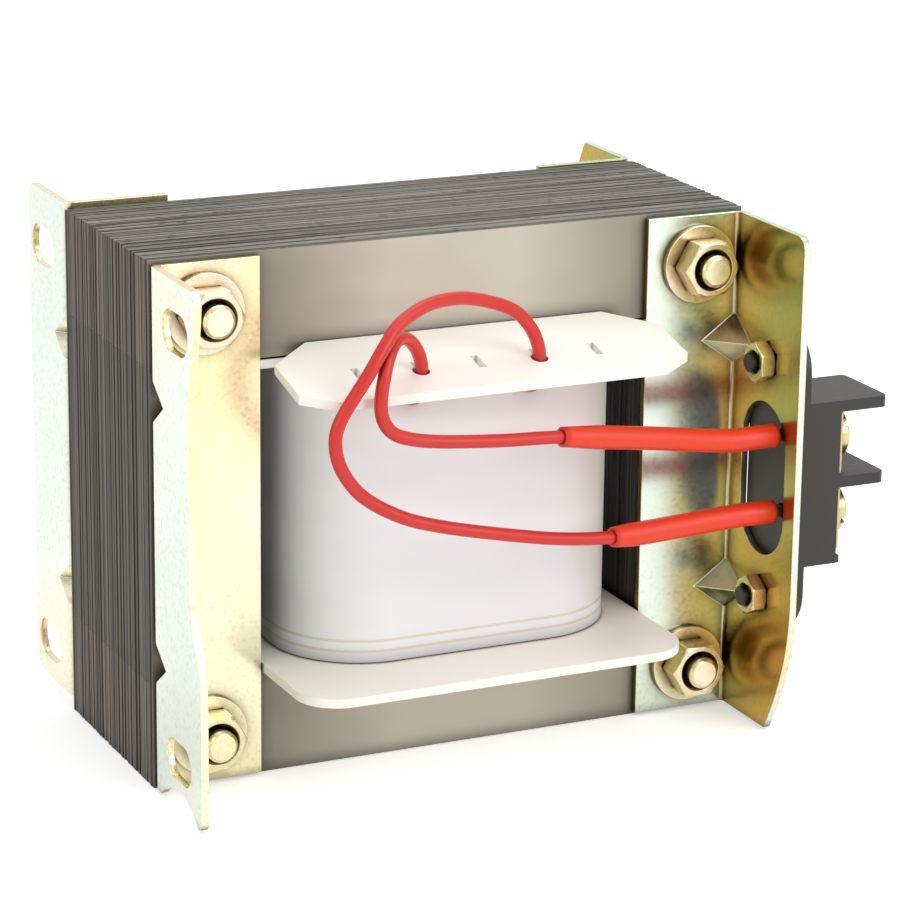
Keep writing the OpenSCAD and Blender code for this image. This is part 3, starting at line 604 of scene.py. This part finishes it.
steel, tree, shader, place = new_material("varnished_silicon_steel")
split = add(tree, "SeparateXYZ", {0: place.outputs["Object"]})
facing = add(tree, "SeparateXYZ", {0: place.outputs["Normal"]})
broad = add(tree, "Math", {0: facing.outputs["Y"]}, operation="ABSOLUTE")
upward = add(tree, "Math", {0: facing.outputs["Z"]}, operation="ABSOLUTE")
sheet_number = add(tree, "Math", {0: split.outputs["Y"], 1: 1 / sheet_pitch}, operation="MULTIPLY")
sheet_whole = add(tree, "Math", {0: sheet_number.outputs[0]}, operation="FLOOR")
tone = add(tree, "TexWhiteNoise", {"W": sheet_whole.outputs[0]}, noise_dimensions="1D")
streak_place = add(tree, "Mapping", {"Vector": place.outputs["Object"],
                                     "Scale": (STREAKS_ALONG, STREAKS_ACROSS, STREAKS_ALONG)})
streaks = add(tree, "TexNoise", {"Vector": streak_place.outputs[0], "Scale": 1.0, "Detail": 4.0})
mixed = add(tree, "Math", {0: tone.outputs["Value"], 1: 0.4}, operation="MULTIPLY")
mixed = add(tree, "Math", {0: streaks.outputs["Fac"], 1: 0.8, 2: mixed.outputs[0]},
            operation="MULTIPLY_ADD")

# %% [markdown]
# The core's sides are nearly black with brown streaks. Above and below the joint lines, where
# strips lie between the backs of the E's, they look a little browner and lighter. The top is
# painted lighter and greyer than the sides, as light from above falls on it, and has small
# dark specks.

# %% Colours of the cut edges
# Specks per metre: they lie 2.4 mm apart.
TOP_SPECKS = 420.0

side_colour = add(tree, "ValToRGB", {0: mixed.outputs[0]},
                  stops=((0.34, "#171511"), (0.5, "#343128"), (0.68, "#4a463b"), (0.95, "#6b6458")))
yoke_colour = add(tree, "ValToRGB", {0: mixed.outputs[0]},
                  stops=((0.34, "#27211a"), (0.5, "#453d32"), (0.68, "#5f5547"), (0.95, "#7c705f")))
from_middle = add(tree, "Math", {0: split.outputs["Z"], 1: core_mid.z}, operation="SUBTRACT")
from_middle = add(tree, "Math", {0: from_middle.outputs[0]}, operation="ABSOLUTE")
at_yoke = add(tree, "Math", {0: from_middle.outputs[0], 1: core_h / 2 - YOKE},
              operation="GREATER_THAN")
flank = add(tree, "Mix", {0: at_yoke.outputs[0], 6: side_colour.outputs[0],
                          7: yoke_colour.outputs[0]}, data_type="RGBA")
# Painted light: the top's colours are lighter than the sides', as light from above falls on it.
lit_top_colour = add(tree, "ValToRGB", {0: mixed.outputs[0]},
                 stops=((0.3, "#4a453c"), (0.48, "#6a655a"), (0.68, "#7f796d"), (0.95, "#9d968a")))
specks = add(tree, "TexNoise", {"Vector": place.outputs["Object"], "Scale": TOP_SPECKS, "Detail": 3.0})
speck_mask = add(tree, "ValToRGB", {0: specks.outputs["Fac"]}, stops=((0.3, 0.35), (0.4, 1.0)))
speckled = add(tree, "Mix", {0: 1.0, 6: lit_top_colour.outputs[0], 7: speck_mask.outputs[0]},
               data_type="RGBA", blend_type="MULTIPLY")
edge_colour = add(tree, "Mix", {0: upward.outputs[0], 6: flank.outputs[2], 7: speckled.outputs[2]},
                  data_type="RGBA")

# %% [markdown]
# The broad face of the front sheet is a smooth warm grey. It has a painted highlight in the
# middle and painted shade beside the brackets, with a slight cloudiness of 30 mm.

# %% Colour of the broad face
# Clouds per metre, each about 30 mm wide, and where the painted highlight ends and shade begins.
FACE_CLOUDS = 30.0
HIGHLIGHT_TO, SHADE_FROM = 10 * MM, 34 * MM

cloud = add(tree, "TexNoise", {"Vector": place.outputs["Object"], "Scale": FACE_CLOUDS, "Detail": 4.0})
# Painted light: lighter in the middle of the face and darker towards the brackets.
painted_light_across = add(tree, "Math", {0: split.outputs["X"], 1: core_mid.x}, operation="SUBTRACT")
painted_light_across = add(tree, "Math", {0: painted_light_across.outputs[0]}, operation="ABSOLUTE")
painted_light_across = add(tree, "MapRange", {0: painted_light_across.outputs[0], 1: HIGHLIGHT_TO, 2: SHADE_FROM, 3: 0.75, 4: 0.2})
lightness = add(tree, "Math", {0: cloud.outputs["Fac"], 1: 0.5, 2: painted_light_across.outputs[0]},
                operation="MULTIPLY_ADD")
face_colour = add(tree, "ValToRGB", {0: lightness.outputs[0]},
                  stops=((0.4, "#7d776b"), (0.7, "#a59e90"), (1.0, "#c2bbac")))

# %% Silicon steel, put together
is_broad = add(tree, "Math", {0: broad.outputs[0], 1: 0.5}, operation="GREATER_THAN")
colour = add(tree, "Mix", {0: is_broad.outputs[0], 6: edge_colour.outputs[2],
                           7: face_colour.outputs[0]}, data_type="RGBA")
# Painted shade: the steel turns near black in the gaps between sheets and in corners.
shaded = paint_corner_shade(tree, colour.outputs[2], "#14110d", 2.5, bite=1.3)
tree.links.new(shaded, shader.inputs["Base Color"])
shader.inputs["Metallic"].default_value = 0.35
shader.inputs["Roughness"].default_value = 0.5
dress(e_stack, steel)
dress(i_stack, steel)
print(steel.name, "has", len(tree.nodes), "nodes")

# %% [markdown]
# The brackets are zinc-plated steel with a yellow chromate film. The film is thinner than a
# wave of light, so its colour wanders between straw, pale green and pink. It is a metal all
# over, fairly bright, with a fine grain of worn spots. The wandering colour is a soft noise
# through a colour ramp, once for the broad flanges and once for the legs that stand out from
# them; the legs' ramp is a painted reflection, which turns olive, gold and brown on the
# terminal brackets. The patches are tens of millimetres wide, because the film drains slowly in
# the bath. Three tints are made: pale for the chassis brackets, deep for the terminal brackets,
# and straw for the nuts, bolts and washers.

# %% Yellow-passivated zinc
# Patterns per metre: a patch of colour is about 60 mm wide, and a worn grain 0.7 mm.
FILM_PATCHES = 17.0
WORN_GRAINS = 1400.0


def passivated_zinc(name, flange_stops, leg_reflection_stops, roughness):
    material, tree, shader, place = new_material(name)
    drift = add(tree, "TexNoise", {"Vector": place.outputs["Object"], "Scale": FILM_PATCHES,
                                   "Detail": 1.5, "Distortion": 0.5})
    flange = add(tree, "ValToRGB", {0: drift.outputs["Fac"]}, stops=flange_stops)
    # Painted reflection: the faces turned sideways, the legs, get a colour of their own.
    leg_reflection = add(tree, "ValToRGB", {0: drift.outputs["Fac"]}, stops=leg_reflection_stops)
    facing = add(tree, "SeparateXYZ", {0: place.outputs["Normal"]})
    sideways = add(tree, "Math", {0: facing.outputs["X"]}, operation="ABSOLUTE")
    film = add(tree, "Mix", {0: sideways.outputs[0], 6: flange.outputs[0], 7: leg_reflection.outputs[0]},
               data_type="RGBA")
    grain = add(tree, "TexNoise", {"Vector": place.outputs["Object"], "Scale": WORN_GRAINS,
                                   "Detail": 3.0})
    wear = add(tree, "ValToRGB", {0: grain.outputs["Fac"]}, stops=((0.3, 0.86), (0.5, 1.0)))
    worn = add(tree, "Mix", {0: 1.0, 6: film.outputs[2], 7: wear.outputs[0]},
               data_type="RGBA", blend_type="MULTIPLY")
    # Painted shade: the plating turns dark brown where surfaces nearly meet.
    shaded = paint_corner_shade(tree, worn.outputs[2], "#4a3010", 2.2, bite=1.5)
    tree.links.new(shaded, shader.inputs["Base Color"])
    shine = add(tree, "MapRange", {0: grain.outputs["Fac"], 3: roughness - 0.05,
                                   4: roughness + 0.07})
    tree.links.new(shine.outputs[0], shader.inputs["Roughness"])
    shader.inputs["Metallic"].default_value = 1.0
    return material


pale_zinc = passivated_zinc(
    "pale_yellow_passivated_zinc",
    ((0.35, "#e6e4c8"), (0.46, "#f1e4b8"), (0.56, "#efe0b0"), (0.66, "#f3d9c0")),
    ((0.35, "#d8e0d4"), (0.5, "#dfe6dc"), (0.62, "#e8e6cc"), (0.7, "#e8dac4")), 0.24)
deep_zinc = passivated_zinc(
    "deep_yellow_passivated_zinc",
    ((0.36, "#c3ce98"), (0.45, "#d8e2cf"), (0.56, "#d6e4dc"), (0.66, "#e6dcb0")),
    ((0.36, "#8d9a5c"), (0.46, "#a39a48"), (0.57, "#c09c40"), (0.68, "#b48038")), 0.22)
nut_zinc = passivated_zinc(
    "nut_yellow_passivated_zinc",
    ((0.35, "#e3d6a4"), (0.5, "#efe4c4"), (0.65, "#ecd3bd")),
    ((0.35, "#9c9450"), (0.5, "#d4c67c"), (0.65, "#d9b98c")), 0.24)

# %% Plate the brackets and the fasteners
for node in ("front_left_bracket", "back_left_bracket"):
    dress(copies[node], pale_zinc)
for node in ("front_right_bracket", "back_right_bracket"):
    dress(copies[node], deep_zinc)
for node in ("clamp_nuts", "clamp_bolts", "clamp_washers", "block_nuts"):
    dress(copies[node], nut_zinc)

# %% [markdown]
# The small parts are plain at a glance, and yet none has one flat colour. Moulded, drawn and
# extruded surfaces all have a fine cloudiness and an uneven shine, and shade is painted into
# their corners. One function makes such a material from the few values that differ.

# %% A material for small parts
# Clouds per metre: each is 1.1 mm wide, coarser than the real surface so that it shows.
SMALL_CLOUDS = 900.0


def small_part_material(name, colour, roughness, metallic=0.0, speckle=0.0, corner="#000000",
                        reach=2.0, bite=1.0):
    """One colour with a fine cloudiness, painted shade in its corners and an uneven shine."""
    material, tree, shader, place = new_material(name)
    noise = add(tree, "TexNoise", {"Vector": place.outputs["Object"], "Scale": SMALL_CLOUDS,
                                   "Detail": 3.0})
    low = tuple(c * (1 - speckle) for c in linear(colour)[:3]) + (1,)
    mix = add(tree, "Mix", {0: noise.outputs["Fac"], 6: low, 7: linear(colour)}, data_type="RGBA")
    # Painted shade: the corner colour darkens the part where surfaces nearly meet.
    shaded = paint_corner_shade(tree, mix.outputs[2], corner, reach, bite)
    tree.links.new(shaded, shader.inputs["Base Color"])
    shine = add(tree, "MapRange", {0: noise.outputs["Fac"], 3: roughness - 0.06,
                                   4: roughness + 0.06})
    tree.links.new(shine.outputs[0], shader.inputs["Roughness"])
    shader.inputs["Metallic"].default_value = metallic
    return material


# %% [markdown]
# The bobbin is moulded nylon, bright and slightly satin, and shade is painted dark into its thin
# slits. The blocks are black phenolic, which is really a dark brown. Their screws and plates are
# tinned brass, pale yellow and bright. The leads' PVC is a clear red with a soft gloss, and the
# shrunk sleeves are more orange. Copper and paper lie deep inside and hardly show.

# %% Plastics, small metal and paper
# Painted shade: each corner colour below is the dark put into that material's corners and slits.
nylon = small_part_material("white_nylon", "#fffdf4", 0.45, speckle=0.02,
                            corner="#3c362d", reach=0.7)
phenolic = small_part_material("black_phenolic", "#2e2a22", 0.45, speckle=0.25)
tinned_brass = small_part_material("tinned_brass", "#d8c896", 0.3, metallic=1.0, speckle=0.15,
                                   corner="#5a3c14", bite=1.5)
blackened_steel = small_part_material("blackened_steel", "#4a443a", 0.4, metallic=1.0, speckle=0.2)
red_pvc = small_part_material("red_pvc", "#d4281f", 0.35, speckle=0.08, corner="#5a0a06", reach=1.0)
orange_sleeve = small_part_material("orange_red_sleeving", "#ee3a1a", 0.4, speckle=0.1,
                                    corner="#7a1406", reach=1.0)
copper = small_part_material("enamelled_copper", "#b5652b", 0.3, metallic=1.0, speckle=0.1)
paper = small_part_material("insulating_paper", "#d8c7a0", 0.8, speckle=0.1)

# %% [markdown]
# The coil is wrapped in a thin white polyester film. It is smooth and a little glossy, and
# greyer close to the flanges, where it lies in their shade. Near the lower flange the edges of
# the last turns show as two faint straw-coloured lines, each drawn at a fixed height.

# %% Wrapping film
TAPE_LINES = (19.6, 21.2)
TAPE_LINE_HALF_W = 0.22
TAPE_LINE_SHOWS = 0.5
HAZE_PER_METRE = (25, 25, 90)
film_tape, tree, shader, place = new_material("polyester_wrapping_film")
split = add(tree, "SeparateXYZ", {0: place.outputs["Object"]})
haze_place = add(tree, "Mapping", {"Vector": place.outputs["Object"], "Scale": HAZE_PER_METRE})
haze = add(tree, "TexNoise", {"Vector": haze_place.outputs[0], "Scale": 1.0, "Detail": 2.0})
film = add(tree, "ValToRGB", {0: haze.outputs["Fac"]}, stops=((0.35, "#e8e7ea"), (0.65, "#f0eff0")))
colour = film.outputs[0]
for height in TAPE_LINES:
    offset = add(tree, "Math", {0: split.outputs["Z"], 1: height * MM}, operation="SUBTRACT")
    offset = add(tree, "Math", {0: offset.outputs[0]}, operation="ABSOLUTE")
    line = add(tree, "Math", {0: offset.outputs[0], 1: TAPE_LINE_HALF_W * MM}, operation="LESS_THAN")
    line = add(tree, "Math", {0: line.outputs[0], 1: TAPE_LINE_SHOWS}, operation="MULTIPLY")
    lined = add(tree, "Mix", {0: line.outputs[0], 6: colour, 7: linear("#cdbf9c")}, data_type="RGBA")
    colour = lined.outputs[2]
tree.links.new(paint_corner_shade(tree, colour, "#6f6866", 3.0, bite=0.9), shader.inputs["Base Color"])
shader.inputs["Roughness"].default_value = 0.35

# %% [markdown]
# With every material made, each part is given its own.

# %% Dress the small parts
dress(copies["bobbin"], nylon)
dress(copies["outer_wrap"], film_tape)
for node in ("front_terminal_block", "rear_terminal_block"):
    dress(copies[node], phenolic)
for node in ("terminal_plates", "terminal_clamp_washers", "terminal_screws"):
    dress(copies[node], tinned_brass)
dress(copies["block_screws"], blackened_steel)
dress(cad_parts["terminal_nuts"], tinned_brass)
for node in ("primary_winding", "secondary_winding"):
    dress(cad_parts[node], copper)
for node in ("interwinding_insulation", "bolt_sleeves"):
    dress(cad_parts[node], paper)
for lead, sleeve in leads:
    dress(lead, red_pvc)
    dress(sleeve, orange_sleeve)
print("materials made:", len(bpy.data.materials))
